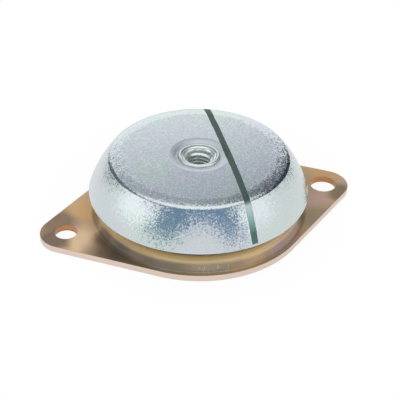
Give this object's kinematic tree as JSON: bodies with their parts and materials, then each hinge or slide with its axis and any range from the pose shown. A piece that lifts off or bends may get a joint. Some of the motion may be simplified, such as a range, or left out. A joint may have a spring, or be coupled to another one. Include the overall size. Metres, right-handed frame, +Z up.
{
  "type": "rubber anti-vibration mount",
  "caption": "Bell-shaped anti-vibration mount: a drawn steel cup with a threaded insert on a bonded rubber ring, over a stamped base plate with fixing holes at its ends.",
  "frame": {"origin": "middle of the base plate's underside, on the axis of the cup and the thread", "axes": "+X through the two fixing holes, +Y across the plate, +Z up along the thread, out of its mouth"},
  "size_m": [0.147, 0.0994, 0.032],
  "materials": {
    "yellow_zinc": "stamped steel, zinc-plated and yellow-passivated, iridescent gold, brown and olive",
    "black_rubber": "black moulded natural rubber, matt",
    "bright_zinc": "deep-drawn steel, bright zinc-plated, pale blue-grey with fine mottling and one dark green painted stripe",
    "insert_steel": "turned steel, bright zinc-plated"
  },
  "bodies": {
    "base": {"base_plate": "yellow_zinc", "rubber_spring": "black_rubber"},
    "cup": {"top_cup": "bright_zinc", "threaded_insert": "insert_steel"}
  },
  "joints": [
    {"name": "deflection", "type": "slide", "parent": "base", "child": "cup", "axis": [0, 0, 1], "range_m": [-0.006, 0.002], "stiffness_N_per_m": 600000, "deforming": ["rubber_spring"]}
  ]
}
